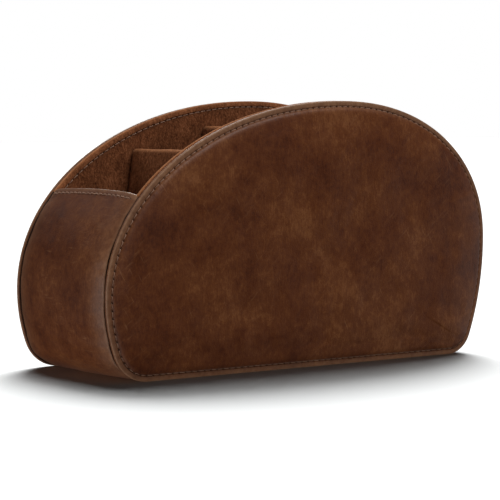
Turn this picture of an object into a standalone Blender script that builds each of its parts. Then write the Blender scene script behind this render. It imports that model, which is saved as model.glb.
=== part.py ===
"""Remote control organizer.

Two padded leather panels stand face to face. A padded leather band, the gusset, runs down one end,
under the floor and up the other end, and joins them. The inside is lined with suede, and four
leaning suede-covered dividers split it into five slots that are open at the top.

X runs along the panels, Y from the front panel to the back one and Z up. The origin is on the
table, under the middle of the part.
"""

import math

import bmesh
import bpy

# Overall sizes
PANEL_WIDTH = 0.240
PANEL_HEIGHT = 0.1337
RIM_DEPTH = 0.0827

# Panel outline, seen from the front: an arch over each side, a side arc and a bottom corner
PEAK_OFFSET = 0.0221
LEFT_WIDEST_HEIGHT = 0.0395
LEFT_ARCH_POWER = 2.03
LEFT_SIDE_RADIUS = 0.076
LEFT_CORNER_RADIUS = 0.0196
RIGHT_WIDEST_HEIGHT = 0.061
RIGHT_ARCH_POWER = 2.15
RIGHT_SIDE_RADIUS = 0.141
RIGHT_CORNER_RADIUS = 0.0154

# Panel, from its face to its lining
PANEL_THICKNESS = 0.006
LEATHER_THICKNESS = 0.0012
PANEL_PADDING_THICKNESS = 0.0014
PANEL_BOARD_THICKNESS = 0.0015
PANEL_LINING_THICKNESS = 0.001
PAD_RISE = 0.001
PAD_SLOPE_WIDTH = 0.0056
PAD_SHOULDER_RISE = 0.6 * PAD_RISE
PAD_SHOULDER_WIDTH = PAD_SLOPE_WIDTH / 3

# How square the rim is, at its leather and at its lining; 2 would be round
LEATHER_RIM_POWER = 3.2
LINING_RIM_POWER = 2.6

# Seam round the panel
SEAM_INSET = 0.0031
SEAM_HALF_WIDTH = 0.0008
SEAM_DEPTH = 0.0007
LINING_SEAM_DEPTH = 0.0006
BOARD_SEAM_MARGIN = 0.001
THREAD_RADIUS = 0.00035

# Gusset
GUSSET_INSET = 0.0028
GUSSET_ROLL_WIDTH = 0.012
GUSSET_ROLL_POWER = 2.5
GUSSET_BOARD_THICKNESS = 0.0015
GUSSET_LINING_THICKNESS = 0.0009
HEM_HEIGHT = 0.0885
HEM_ROUND = 0.001
HEM_ROUND_MIDDLE = 0.3 * HEM_ROUND
HEM_SEAM_DISTANCE = 0.0023

# Dividers, which share the width that the two ends leave free
DIVIDER_COUNT = 4
END_ALLOWANCE = 0.01375
DIVIDER_PITCH = (PANEL_WIDTH - 2 * END_ALLOWANCE) / (DIVIDER_COUNT + 1)
DIVIDER_ROW_SHIFT = -0.0037
DIVIDER_LEAN = math.radians(8.5)
DIVIDER_DROP = 0.011
DIVIDER_THICKNESS = 0.005
DIVIDER_SUEDE_THICKNESS = 0.0012
DIVIDER_BOARD_MARGIN = 0.001

# Gap that pieces lying on each other keep
GAP = 0.0003

# Steps of the curved stretches
ARCH_STEPS = 16
SIDE_STEPS = 4
CORNER_STEPS = 6
RIM_STEPS = 4
THREAD_SIDES = 6
DIVIDER_TOP_STEPS = 6
DIVIDER_LENGTH_ROUNDS = 6
ROLL_STATIONS = (0.0, 0.5, 0.8, 1.0)
PADDING_ROLL_STATIONS = ROLL_STATIONS[:-1]

# Colour and roughness of each material
LEATHER = ((0.125, 0.052, 0.024), 0.45)
SUEDE = ((0.20, 0.075, 0.030), 0.95)
PADDING = ((0.75, 0.72, 0.62), 0.95)
BOARD = ((0.42, 0.33, 0.23), 0.85)
THREAD = ((0.45, 0.27, 0.18), 0.6)

# Heights and insets that follow from the sizes above
RIM_RADIUS = PANEL_THICKNESS / 2
HALF_CAVITY = RIM_DEPTH / 2 - PANEL_THICKNESS
HALF_BAND = HALF_CAVITY - GAP
GUSSET_CROWN = GUSSET_INSET
GUSSET_BOARD_INSET = GUSSET_INSET + LEATHER_THICKNESS + GAP
GUSSET_LINING_INSET = GUSSET_BOARD_INSET + GUSSET_BOARD_THICKNESS + GAP
FLOOR_TOP = GUSSET_LINING_INSET + GUSSET_LINING_THICKNESS


def arch_side(side, widest_height, power):
    """Points and outward normals from the peak to just above the widest point on one side."""
    arch_width = PANEL_WIDTH / 2 - side * PEAK_OFFSET
    arch_height = PANEL_HEIGHT - widest_height
    points = []
    for step in range(ARCH_STEPS):
        angle = math.pi / 2 * (1 - step / ARCH_STEPS)
        across = math.cos(angle) ** (2 / power)
        up = math.sin(angle) ** (2 / power)
        normal_x = across ** (power - 1) / arch_width
        normal_z = up ** (power - 1) / arch_height
        length = math.hypot(normal_x, normal_z)
        x = PEAK_OFFSET + side * arch_width * across
        z = widest_height + arch_height * up
        points.append((x, z, side * normal_x / length, normal_z / length))
    return points


def arc(side, centre_x, centre_z, radius, start, end, steps):
    """Points and outward normals along an arc, without its end point."""
    points = []
    for step in range(steps):
        angle = start + (end - start) * step / steps
        normal_x = side * math.cos(angle)
        normal_z = math.sin(angle)
        points.append((side * centre_x + radius * normal_x, centre_z + radius * normal_z, normal_x, normal_z))
    return points


def panel_side(side, widest_height, power, side_radius, corner_radius):
    """One side of the outline, from the peak down to the end of the flat base."""
    side_centre = PANEL_WIDTH / 2 - side_radius
    reach = math.sqrt((side_radius - corner_radius) ** 2 - (widest_height - corner_radius) ** 2)
    corner_centre = side_centre + reach
    meeting = math.atan2(corner_radius - widest_height, reach)
    points = arch_side(side, widest_height, power)
    points += arc(side, side_centre, widest_height, side_radius, 0, meeting, SIDE_STEPS)
    points += arc(side, corner_centre, corner_radius, corner_radius, meeting, -math.pi / 2, CORNER_STEPS)
    points.append((side * corner_centre, 0.0, 0.0, -1.0))
    return points


LEFT_SIDE = panel_side(-1, LEFT_WIDEST_HEIGHT, LEFT_ARCH_POWER, LEFT_SIDE_RADIUS, LEFT_CORNER_RADIUS)
RIGHT_SIDE = panel_side(1, RIGHT_WIDEST_HEIGHT, RIGHT_ARCH_POWER, RIGHT_SIDE_RADIUS, RIGHT_CORNER_RADIUS)

# The closed outline runs from the peak down the left side, along the base and up the right side
OUTLINE = LEFT_SIDE + RIGHT_SIDE[:0:-1]


def outline_distances():
    """Distance of each outline point from the peak, and the whole way round at the end."""
    distances = [0.0]
    for point, following in zip(OUTLINE, OUTLINE[1:] + OUTLINE[:1]):
        distances.append(distances[-1] + math.dist(point[:2], following[:2]))
    return distances


DISTANCES = outline_distances()
LEFT_CORNER_TOP = DISTANCES[ARCH_STEPS + SIDE_STEPS]
BASE_LEFT_END = DISTANCES[len(LEFT_SIDE) - 1]
BASE_RIGHT_END = DISTANCES[len(LEFT_SIDE)]
RIGHT_CORNER_TOP = DISTANCES[len(LEFT_SIDE) + CORNER_STEPS]


def outline_at(distance):
    """Point and outward normal at a distance from the peak, which may pass the whole way round."""
    distance = distance % DISTANCES[-1]
    index = max(i for i, start in enumerate(DISTANCES[:-1]) if start <= distance)
    share = (distance - DISTANCES[index]) / (DISTANCES[index + 1] - DISTANCES[index])
    start = OUTLINE[index]
    end = OUTLINE[(index + 1) % len(OUTLINE)]
    x, z, normal_x, normal_z = (a + share * (b - a) for a, b in zip(start, end))
    length = math.hypot(normal_x, normal_z)
    return x, z, normal_x / length, normal_z / length


def stations(start, end):
    """Distances of the outline's own points between two ends, with the ends."""
    laps = DISTANCES[:-1] + [DISTANCES[-1] + distance for distance in DISTANCES[:-1]]
    return [start] + [distance for distance in laps if start + GAP < distance < end - GAP] + [end]


def distance_at_height(side_points, height):
    """Distance from the peak, along one side, at which the arch comes down to a height."""
    travelled = 0.0
    for point, following in zip(side_points, side_points[1:]):
        step = math.dist(point[:2], following[:2])
        if following[1] <= height:
            return travelled + step * (point[1] - height) / (point[1] - following[1])
        travelled += step
    return travelled


LEFT_HEM = distance_at_height(LEFT_SIDE, HEM_HEIGHT)
RIGHT_HEM = DISTANCES[-1] - distance_at_height(RIGHT_SIDE, HEM_HEIGHT)


def arch_height(x):
    """Height of the panel's arch above a place along the panel."""
    side = 1 if x > PEAK_OFFSET else -1
    widest_height = RIGHT_WIDEST_HEIGHT if side > 0 else LEFT_WIDEST_HEIGHT
    power = RIGHT_ARCH_POWER if side > 0 else LEFT_ARCH_POWER
    share = abs(x - PEAK_OFFSET) / (PANEL_WIDTH / 2 - side * PEAK_OFFSET)
    return widest_height + (PANEL_HEIGHT - widest_height) * max(0.0, 1 - share ** power) ** (1 / power)


def crown(y):
    """How far the gusset stands out of its edges, across its width."""
    flat = HALF_BAND - GUSSET_ROLL_WIDTH
    share = max(0.0, (abs(y) - flat) / GUSSET_ROLL_WIDTH)
    return GUSSET_CROWN * max(0.0, 1 - share ** GUSSET_ROLL_POWER)


def across_band(roll_stations):
    """Places across the gusset, from front to back, with the rolled edges cut at these shares."""
    flat = HALF_BAND - GUSSET_ROLL_WIDTH
    half = [flat + GUSSET_ROLL_WIDTH * share for share in roll_stations]
    return [-y for y in reversed(half)] + half


def band_point(distance, inset, follow, y):
    """Point of the gusset; follow is 1 where it follows the crown and 0 where it lies flat."""
    x, z, normal_x, normal_z = outline_at(distance)
    depth = inset - follow * crown(y)
    return x - depth * normal_x, y, z - depth * normal_z


def material(name, color, roughness):
    """Plain surface with one colour."""
    made = bpy.data.materials.new(name)
    made.use_nodes = True
    shader = made.node_tree.nodes["Principled BSDF"]
    shader.inputs["Base Color"].default_value = (*color, 1.0)
    shader.inputs["Roughness"].default_value = roughness
    shader.inputs["Metallic"].default_value = 0.0
    made.diffuse_color = (*color, 1.0)
    return made


def loft(name, rings, look, wrap=False):
    """Closed solid through equal rings of points, capped at both ends unless it closes on itself."""
    shape = bmesh.new()
    loops = [[shape.verts.new(point) for point in ring] for ring in rings]
    pairs = list(zip(loops, loops[1:]))
    if wrap:
        pairs.append((loops[-1], loops[0]))
    else:
        shape.faces.new(loops[0])
        shape.faces.new(loops[-1])
    for lower, upper in pairs:
        for index in range(len(lower)):
            following = (index + 1) % len(lower)
            shape.faces.new((lower[index], lower[following], upper[following], upper[index]))
    bmesh.ops.recalc_face_normals(shape, faces=shape.faces)
    mesh = bpy.data.meshes.new(name)
    shape.to_mesh(mesh)
    shape.free()
    mesh.shade_smooth()
    mesh.set_sharp_from_angle(angle=math.radians(40))
    piece = bpy.data.objects.new(name, mesh)
    bpy.context.scene.collection.objects.link(piece)
    mesh.materials.append(material(name, *look))
    return piece


def panel_ring(side, inset, depth):
    """Ring that follows the outline; depth is measured from the panel's rim plane to the cavity."""
    y = side * (RIM_DEPTH / 2 - depth)
    return [(x - inset * normal_x, y, z - inset * normal_z) for x, z, normal_x, normal_z in OUTLINE]


def rim_arc(radius, power, start, end):
    """Inset and depth of points round the squared rim; 0 is its face and 180 degrees its inner side."""
    places = []
    for step in range(RIM_STEPS + 1):
        angle = start + (end - start) * step / RIM_STEPS
        outward = math.sin(angle) ** (2 / power)
        forward = math.copysign(abs(math.cos(angle)) ** (2 / power), math.cos(angle))
        places.append((RIM_RADIUS - radius * outward, RIM_RADIUS - radius * forward))
    return places


def rim_angle(reach, radius, power):
    """Angle at which the squared rim has come this far out from its middle."""
    return math.asin((reach / radius) ** (power / 2))


def thread_depth(groove_depth):
    """Depth of a thread's centre that lies on the two slopes of a seam's groove."""
    slope = math.atan2(groove_depth, SEAM_HALF_WIDTH)
    return groove_depth - (THREAD_RADIUS + GAP) / math.cos(slope)


def thread_section(centre, first, second):
    """Small ring round a point, in the plane of two directions."""
    ring = []
    for step in range(THREAD_SIDES):
        angle = math.tau * step / THREAD_SIDES
        reach_first = THREAD_RADIUS * math.cos(angle)
        reach_second = THREAD_RADIUS * math.sin(angle)
        ring.append(tuple(c + reach_first * a + reach_second * b for c, a, b in zip(centre, first, second)))
    return ring


def seam_thread(name, side, depth, distances, look, wrap):
    """Thread along the panel's seam at the given distances from the peak."""
    y = side * (RIM_DEPTH / 2 - depth)
    rings = []
    for distance in distances:
        x, z, normal_x, normal_z = outline_at(distance)
        centre = (x - SEAM_INSET * normal_x, y, z - SEAM_INSET * normal_z)
        rings.append(thread_section(centre, (normal_x, 0, normal_z), (0, 1, 0)))
    loft(name, rings, look, wrap)


def build_panel(name, side):
    """Padded panel: leather face, padding, board, suede lining and the two threads of its seam."""
    seam_outer = SEAM_INSET - SEAM_HALF_WIDTH
    seam_inner = SEAM_INSET + SEAM_HALF_WIDTH
    pad_edge = seam_inner + PAD_SLOPE_WIDTH
    seam_reach = RIM_RADIUS - seam_outer

    face = [(pad_edge, -PAD_RISE), (seam_inner + PAD_SHOULDER_WIDTH, -PAD_SHOULDER_RISE)]
    face += [(seam_inner, 0.0), (SEAM_INSET, SEAM_DEPTH)]
    shoulder = rim_angle(seam_reach, RIM_RADIUS, LEATHER_RIM_POWER)
    face += rim_arc(RIM_RADIUS, LEATHER_RIM_POWER, shoulder, math.pi / 2)
    face += rim_arc(RIM_RADIUS - LEATHER_THICKNESS, LEATHER_RIM_POWER, math.pi / 2, 0)
    face.append((pad_edge, LEATHER_THICKNESS - PAD_RISE))
    loft(name + "_leather", [panel_ring(side, *place) for place in face], LEATHER)

    padding_front = LEATHER_THICKNESS + GAP
    padding_back = padding_front + PANEL_PADDING_THICKNESS
    padding = [(pad_edge, padding_front - PAD_RISE), (RIM_RADIUS, padding_front), (RIM_RADIUS, padding_back)]
    loft(name + "_padding", [panel_ring(side, *place) for place in padding], PADDING)

    board_front = padding_back + GAP
    board_back = board_front + PANEL_BOARD_THICKNESS
    board_inset = seam_inner + BOARD_SEAM_MARGIN
    board = [(board_inset, board_front), (board_inset, board_back)]
    loft(name + "_board", [panel_ring(side, *place) for place in board], BOARD)

    lining_radius = RIM_RADIUS - PANEL_LINING_THICKNESS
    lining_shoulder = math.pi - rim_angle(seam_reach, RIM_RADIUS, LINING_RIM_POWER)
    outer_edge = math.pi / 2 + rim_angle(GAP, RIM_RADIUS, LINING_RIM_POWER)
    inner_edge = math.pi / 2 + rim_angle(GAP, lining_radius, LINING_RIM_POWER)
    lining = [(seam_inner, PANEL_THICKNESS), (SEAM_INSET, PANEL_THICKNESS - LINING_SEAM_DEPTH)]
    lining += rim_arc(RIM_RADIUS, LINING_RIM_POWER, lining_shoulder, outer_edge)
    lining += rim_arc(lining_radius, LINING_RIM_POWER, inner_edge, math.pi)
    loft(name + "_lining", [panel_ring(side, *place) for place in lining], SUEDE)

    seam_thread(name + "_seam_thread", side, thread_depth(SEAM_DEPTH), DISTANCES[:-1], THREAD, True)
    bobbin_depth = PANEL_THICKNESS - thread_depth(LINING_SEAM_DEPTH)
    over_top = stations(RIGHT_HEM + HEM_SEAM_DISTANCE, DISTANCES[-1] + LEFT_HEM - HEM_SEAM_DISTANCE)
    seam_thread(name + "_bobbin_thread", side, bobbin_depth, over_top, THREAD, False)


def band_solid(name, section, y_places, look):
    """Piece of the gusset: a closed section along the outline, carried across the band."""
    loft(name, [[band_point(*place, y) for place in section] for y in y_places], look)


def layer_section(start, end, outer_inset, outer_follow, inner_inset, inner_follow):
    """Closed section of a layer between two distances."""
    path = stations(start, end)
    section = [(distance, outer_inset, outer_follow) for distance in path]
    section += [(distance, inner_inset, inner_follow) for distance in reversed(path)]
    return section


def gusset_leather_section():
    """Leather band whose ends fold over the padding and the board at both hems."""
    inner_inset = GUSSET_INSET + LEATHER_THICKNESS
    fold_end = GUSSET_BOARD_INSET + GUSSET_BOARD_THICKNESS
    rounding = ((HEM_ROUND, 0.0), (HEM_ROUND_MIDDLE, HEM_ROUND_MIDDLE), (0.0, HEM_ROUND))
    section = [(LEFT_HEM + back, GUSSET_INSET + down, 1) for back, down in reversed(rounding)]
    path = stations(LEFT_HEM + HEM_ROUND, RIGHT_HEM - HEM_ROUND)
    section += [(distance, GUSSET_INSET, 1) for distance in path[1:-1]]
    section += [(RIGHT_HEM - back, GUSSET_INSET + down, 1) for back, down in rounding]
    section += [(RIGHT_HEM, fold_end, 0), (RIGHT_HEM - LEATHER_THICKNESS, fold_end, 0)]
    inner_path = stations(LEFT_HEM + LEATHER_THICKNESS, RIGHT_HEM - LEATHER_THICKNESS)
    section += [(distance, inner_inset, 1) for distance in reversed(inner_path)]
    section += [(LEFT_HEM + LEATHER_THICKNESS, fold_end, 0), (LEFT_HEM, fold_end, 0)]
    return section


def hem_thread(name, distance):
    """Thread across the gusset, just below a hem."""
    x, z, normal_x, normal_z = outline_at(distance)
    rings = []
    for y in across_band(PADDING_ROLL_STATIONS):
        centre = band_point(distance, GUSSET_INSET - THREAD_RADIUS - GAP, 1, y)
        rings.append(thread_section(centre, (normal_x, 0, normal_z), (-normal_z, 0, normal_x)))
    loft(name, rings, THREAD)


def build_gusset():
    """The band between the panels: leather, padding, three boards, three linings and two hem threads."""
    full_width = (-HALF_BAND, HALF_BAND)
    layer_start = LEFT_HEM + LEATHER_THICKNESS + GAP
    layer_end = RIGHT_HEM - LEATHER_THICKNESS - GAP
    band_solid("gusset_leather", gusset_leather_section(), across_band(ROLL_STATIONS), LEATHER)

    padding_inner = GUSSET_BOARD_INSET - GAP
    padding = layer_section(layer_start, layer_end, GUSSET_BOARD_INSET, 1, padding_inner, 0)
    band_solid("gusset_padding", padding, across_band(PADDING_ROLL_STATIONS), PADDING)

    board_inner = GUSSET_BOARD_INSET + GUSSET_BOARD_THICKNESS
    boards = {
        "left_end_board": (layer_start, LEFT_CORNER_TOP),
        "floor_board": (BASE_LEFT_END, BASE_RIGHT_END),
        "right_end_board": (RIGHT_CORNER_TOP, layer_end),
    }
    for name, (start, end) in boards.items():
        section = layer_section(start, end, GUSSET_BOARD_INSET, 0, board_inner, 0)
        band_solid(name, section, full_width, BOARD)

    linings = {
        "left_end_lining": (LEFT_HEM, BASE_LEFT_END),
        "floor_lining": (BASE_LEFT_END + GAP, BASE_RIGHT_END - GAP),
        "right_end_lining": (BASE_RIGHT_END, RIGHT_HEM),
    }
    for name, (start, end) in linings.items():
        section = layer_section(start, end, GUSSET_LINING_INSET, 0, FLOOR_TOP, 0)
        band_solid(name, section, full_width, SUEDE)

    hem_thread("left_hem_thread", LEFT_HEM + HEM_SEAM_DISTANCE)
    hem_thread("right_hem_thread", RIGHT_HEM - HEM_SEAM_DISTANCE)


def divider_length(foot):
    """Length of a divider's straight part, so that its top stays below the panels' arch."""
    top = PANEL_HEIGHT
    for _ in range(DIVIDER_LENGTH_ROUNDS):
        x = foot + (top - FLOOR_TOP) * math.tan(DIVIDER_LEAN)
        top = arch_height(x) - DIVIDER_DROP
    return (top - DIVIDER_THICKNESS / 2 - FLOOR_TOP - GAP) / math.cos(DIVIDER_LEAN)


def divider_point(foot, offset, along):
    """Place in the divider's own frame: offset across its thickness, along its slope."""
    x = foot + offset * math.cos(DIVIDER_LEAN) + along * math.sin(DIVIDER_LEAN)
    z = FLOOR_TOP + GAP - offset * math.sin(DIVIDER_LEAN) + along * math.cos(DIVIDER_LEAN)
    return x, z


def divider_foot(foot, offset):
    """Place where a face of the divider meets the level of its foot."""
    return divider_point(foot, offset, offset * math.tan(DIVIDER_LEAN))


def divider_top(foot, radius, length):
    """Half circle over the top, from the left face to the right one."""
    places = []
    for step in range(DIVIDER_TOP_STEPS + 1):
        angle = math.pi * (1 - step / DIVIDER_TOP_STEPS)
        places.append(divider_point(foot, radius * math.cos(angle), length + radius * math.sin(angle)))
    return places


def build_divider(name, foot):
    """Board with a suede cover folded over its top."""
    length = divider_length(foot)
    outer = DIVIDER_THICKNESS / 2
    inner = outer - DIVIDER_SUEDE_THICKNESS
    core = inner - GAP
    cover = [divider_foot(foot, -outer)] + divider_top(foot, outer, length) + [divider_foot(foot, outer)]
    cover += [divider_foot(foot, inner)] + divider_top(foot, inner, length)[::-1] + [divider_foot(foot, -inner)]
    board = [divider_foot(foot, -core), divider_point(foot, -core, length)]
    board += [divider_point(foot, core, length), divider_foot(foot, core)]
    board_half = HALF_BAND - DIVIDER_BOARD_MARGIN
    loft(name + "_suede", [[(x, y, z) for x, z in cover] for y in (-HALF_BAND, HALF_BAND)], SUEDE)
    loft(name + "_board", [[(x, y, z) for x, z in board] for y in (-board_half, board_half)], BOARD)


for old in list(bpy.data.objects):
    bpy.data.objects.remove(old)

build_panel("front", -1)
build_panel("back", 1)
build_gusset()
for number in range(DIVIDER_COUNT):
    place = (number - (DIVIDER_COUNT - 1) / 2) * DIVIDER_PITCH
    build_divider(f"divider_{number + 1}", DIVIDER_ROW_SHIFT + place)
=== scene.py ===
"""Remote control organizer: padded leather panels, a padded band between them and suede dividers."""

import math

import bmesh
import bpy
import numpy as np
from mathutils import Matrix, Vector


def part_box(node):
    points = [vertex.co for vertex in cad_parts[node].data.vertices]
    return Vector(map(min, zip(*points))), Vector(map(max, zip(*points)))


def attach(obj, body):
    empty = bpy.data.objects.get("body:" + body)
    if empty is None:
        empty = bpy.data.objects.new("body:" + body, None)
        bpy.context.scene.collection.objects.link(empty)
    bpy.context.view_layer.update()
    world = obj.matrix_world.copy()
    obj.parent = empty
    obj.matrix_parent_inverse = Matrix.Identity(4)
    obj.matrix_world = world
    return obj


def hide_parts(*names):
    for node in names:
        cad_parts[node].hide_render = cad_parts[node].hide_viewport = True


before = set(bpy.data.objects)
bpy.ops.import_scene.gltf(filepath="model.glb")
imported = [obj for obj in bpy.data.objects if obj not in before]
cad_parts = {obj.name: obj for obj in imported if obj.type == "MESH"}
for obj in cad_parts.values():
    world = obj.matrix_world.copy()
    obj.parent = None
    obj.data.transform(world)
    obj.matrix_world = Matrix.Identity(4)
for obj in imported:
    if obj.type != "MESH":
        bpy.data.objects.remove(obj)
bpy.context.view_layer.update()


# Boards
# Grey pulp board stiffens both panels, the band and the dividers. It is glued in between the skins, so
# nothing of it shows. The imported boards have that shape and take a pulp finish.

class Shade:
    """A shader socket that takes Python's arithmetic and adds the nodes that it stands for."""

    def __init__(self, socket):
        self.socket = socket

    def node(self, kind, settings, inputs, output=0):
        """Any node: its settings come first, then the values or links of its sockets."""
        made = self.socket.id_data.nodes.new(kind)
        for name, value in settings.items():
            if name == "stops":
                elements = made.color_ramp.elements
                while len(elements) < len(value):
                    elements.new(0.5)
                for element, (position, color) in zip(elements, value):
                    element.position = position
                    element.color = (*color, 1.0)
            else:
                setattr(made, name, value)
        feed(made, inputs)
        return Shade(made.outputs[output])

    def math(self, operation, first, second):
        return self.node("ShaderNodeMath", {"operation": operation}, {0: first, 1: second})

    def __add__(self, other):
        return self.math("ADD", self, other)

    __radd__ = __add__

    def __sub__(self, other):
        return self.math("SUBTRACT", self, other)

    def __rsub__(self, other):
        return self.math("SUBTRACT", other, self)

    def __mul__(self, other):
        return self.math("MULTIPLY", self, other)

    __rmul__ = __mul__

    def rise(self, low, high):
        """0 below the low value, 1 above the high one, and smooth between them."""
        settings = {"interpolation_type": "SMOOTHSTEP"}
        return self.node("ShaderNodeMapRange", settings, {"Value": self, "From Min": low, "From Max": high})

    def vector(self, operation, *others):
        return self.node("ShaderNodeVectorMath", {"operation": operation}, dict(enumerate((self, *others))))

    def stretched(self, x, y, z):
        """Place multiplied along each axis."""
        return self.vector("MULTIPLY", (x, y, z))

    def turned(self, x, y, z):
        """Place turned by degrees about each axis."""
        angles = tuple(math.radians(angle) for angle in (x, y, z))
        return self.node("ShaderNodeMapping", {}, {"Vector": self, "Rotation": angles})

    def swirled(self, size, amount):
        """Place pushed about by a cloudy field, both in millimetres."""
        inputs = {"Vector": self, "Scale": 1 / size, "Detail": 2.0}
        centred = self.node("ShaderNodeTexNoise", {}, inputs, "Color").vector("SUBTRACT", (0.5, 0.5, 0.5))
        return centred.vector("MULTIPLY_ADD", (amount, amount, amount), self)

    def clouds(self, size, detail=3.0, roughness=0.5):
        """Noise with patches of that size in millimetres."""
        inputs = {"Vector": self, "Scale": 1 / size, "Detail": detail, "Roughness": roughness}
        return self.node("ShaderNodeTexNoise", {}, inputs)

    def cells(self, size):
        """Distance inside cells of that size in millimetres."""
        return self.node("ShaderNodeTexVoronoi", {}, {"Vector": self, "Scale": 1 / size}, "Distance")

    def tint(self, under, over):
        """Colour that goes from one to the other as this value goes from 0 to 1."""
        ends = [color if isinstance(color, Shade) else (*color, 1.0) for color in (under, over)]
        return self.node("ShaderNodeMix", {"data_type": "RGBA"}, {0: self, 6: ends[0], 7: ends[1]}, 2)

    def ramp(self, *stops):
        """Colour read off a ramp of (position, colour) stops."""
        return self.node("ShaderNodeValToRGB", {"stops": stops}, {"Fac": self})

    def mark(self, name):
        """Value that the mesh carries under that name."""
        return self.node("ShaderNodeAttribute", {"attribute_name": name}, {}, "Fac")

    def bump(self, distance):
        """Normal of a surface that this height lifts by up to the distance in metres."""
        return self.node("ShaderNodeBump", {}, {"Height": self, "Distance": distance})


def feed(node, inputs):
    """Gives a node's sockets their values or links."""
    for key, value in inputs.items():
        if isinstance(value, Shade):
            node.id_data.links.new(value.socket, node.inputs[key])
        else:
            node.inputs[key].default_value = value


def make_material(name, dress):
    """Material whose values and links come from dress, given the place in millimetres."""
    made = bpy.data.materials.new(name)
    made.use_nodes = True
    nodes = made.node_tree.nodes
    place = Shade(nodes.new("ShaderNodeTexCoord").outputs["Object"]).stretched(1000, 1000, 1000)
    feed(nodes["Principled BSDF"], dress(place))
    return made


def pulp_finish(place):
    fibres = place.stretched(1.0, 1.0, 0.25).clouds(0.7, 5.0, 0.65)
    blotches = place.clouds(6.0, 3.0)
    flecks = place.cells(1.3).rise(0.12, 0.02)
    pulp = (0.55 * fibres + 0.45 * blotches).ramp((0.35, (0.30, 0.23, 0.16)), (0.65, (0.46, 0.38, 0.28)))
    return {
        "Base Color": flecks.tint(pulp, (0.16, 0.12, 0.09)),
        "Roughness": 0.95 - 0.15 * fibres,
        "Normal": fibres.bump(0.00012),
        "Specular IOR Level": 0.2,
    }


pulp = make_material("pulp_board", pulp_finish)
for name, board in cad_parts.items():
    if name.endswith("_board"):
        board.data.materials.clear()
        board.data.materials.append(pulp)


# Panel foam
# A sheet of foam on each panel's board gives the leather its soft face. It is cut to the outline inside
# the seam, and its edge is skived so that the leather slopes down to the stitches. A coarse cloth that is
# held at the seam shows how the foam swells the leather.

panel_low, panel_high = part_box("front_leather")
PANEL_WIDTH = panel_high.x - panel_low.x
PANEL_HEIGHT = panel_high.z - panel_low.z
HALF_CAVITY = -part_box("front_lining")[1].y
PANEL_THICKNESS = 0.006
RIM_RADIUS = PANEL_THICKNESS / 2
HALF_DEPTH = HALF_CAVITY + PANEL_THICKNESS
LEATHER_THICKNESS = 0.0012
GAP = 0.0003

PEAK_OFFSET = 0.0221
LEFT_SHAPE = {"widest": 0.0395, "power": 2.03, "side_radius": 0.076, "corner_radius": 0.0196}
RIGHT_SHAPE = {"widest": 0.061, "power": 2.15, "side_radius": 0.141, "corner_radius": 0.0154}

SEAM_INSET = 0.0031
SEAM_HALF_WIDTH = 0.0008
SEAM_DEPTH = 0.00028
SEAM_INNER = SEAM_INSET + SEAM_HALF_WIDTH
SEAM_OUTER = SEAM_INSET - SEAM_HALF_WIDTH
STITCH_COUNT = 165
PAD_EDGE = 0.0105
PAD_FOOT = 0.0001
PAD_ROLL_RISE = 0.0011
PAD_ROLL_WIDTH = 0.0026
PAD_SLOPE_RISE = 0.0026
PAD_SLOPE_WIDTH = 0.0200
PAD_CROWN = 0.0003
SWELL_LIMIT = 0.0009
PAD_CENTRE = (0.006, 0.060)

POINTS_PER_STITCH = 16
FINE_COUNT = STITCH_COUNT * POINTS_PER_STITCH
COARSE_SHARE = 4
ARCH_STEPS = 400
ARC_STEPS = 120
WAVE_COUNT = 16


def outline_side(side, widest, power, side_radius, corner_radius):
    """Points and outward normals of one side, from the peak down to the end of its flat base; widest is
    the height at which the arch meets the side's arcs."""
    arch_width = PANEL_WIDTH / 2 - side * PEAK_OFFSET
    arch_height = PANEL_HEIGHT - widest
    turn = np.linspace(math.pi / 2, 0, ARCH_STEPS, endpoint=False)
    across = np.cos(turn) ** (2 / power)
    up = np.sin(turn) ** (2 / power)
    normal_x = across ** (power - 1) / arch_width
    normal_z = up ** (power - 1) / arch_height
    length = np.hypot(normal_x, normal_z)
    x = PEAK_OFFSET + side * arch_width * across
    arch = np.stack([x, widest + arch_height * up, side * normal_x / length, normal_z / length], axis=1)

    side_centre = PANEL_WIDTH / 2 - side_radius
    reach = math.sqrt((side_radius - corner_radius) ** 2 - (widest - corner_radius) ** 2)
    meeting = math.atan2(corner_radius - widest, reach)
    arcs = [
        (side_centre, widest, side_radius, 0.0, meeting),
        (side_centre + reach, corner_radius, corner_radius, meeting, -math.pi / 2),
    ]
    stretches = [arch]
    for centre_x, centre_z, radius, start, end in arcs:
        angle = np.linspace(start, end, ARC_STEPS)[1:]
        away = side * np.cos(angle)
        x = side * centre_x + radius * away
        stretches.append(np.stack([x, centre_z + radius * np.sin(angle), away, np.sin(angle)], axis=1))
    return np.concatenate(stretches)


def travelled(x, z):
    """Distance along a line of points, from its first point."""
    return np.concatenate([[0.0], np.cumsum(np.hypot(np.diff(x), np.diff(z)))])


left_side = outline_side(-1, **LEFT_SHAPE)
right_side = outline_side(1, **RIGHT_SHAPE)
outline = np.concatenate([left_side, right_side[::-1]])
outline_lengths = travelled(outline[:, 0], outline[:, 1])
LAP = outline_lengths[-1]


def outline_at(distance):
    """Place and outward normal at distances from the peak, down the left side and all the way round."""
    place = np.mod(distance, LAP)
    x, z, normal_x, normal_z = (np.interp(place, outline_lengths, column) for column in outline.T)
    length = np.hypot(normal_x, normal_z)
    return x, z, normal_x / length, normal_z / length


lap = np.linspace(0, LAP, 8 * ARCH_STEPS)
x, z, normal_x, normal_z = outline_at(lap)
seam_lengths = travelled(x - SEAM_INSET * normal_x, z - SEAM_INSET * normal_z)
STITCH_PITCH = seam_lengths[-1] / STITCH_COUNT
fine_distances = np.interp(np.arange(FINE_COUNT) / FINE_COUNT * seam_lengths[-1], seam_lengths, lap)
fine_outline = outline_at(fine_distances)
coarse_outline = [column[::COARSE_SHARE] for column in fine_outline]


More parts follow.
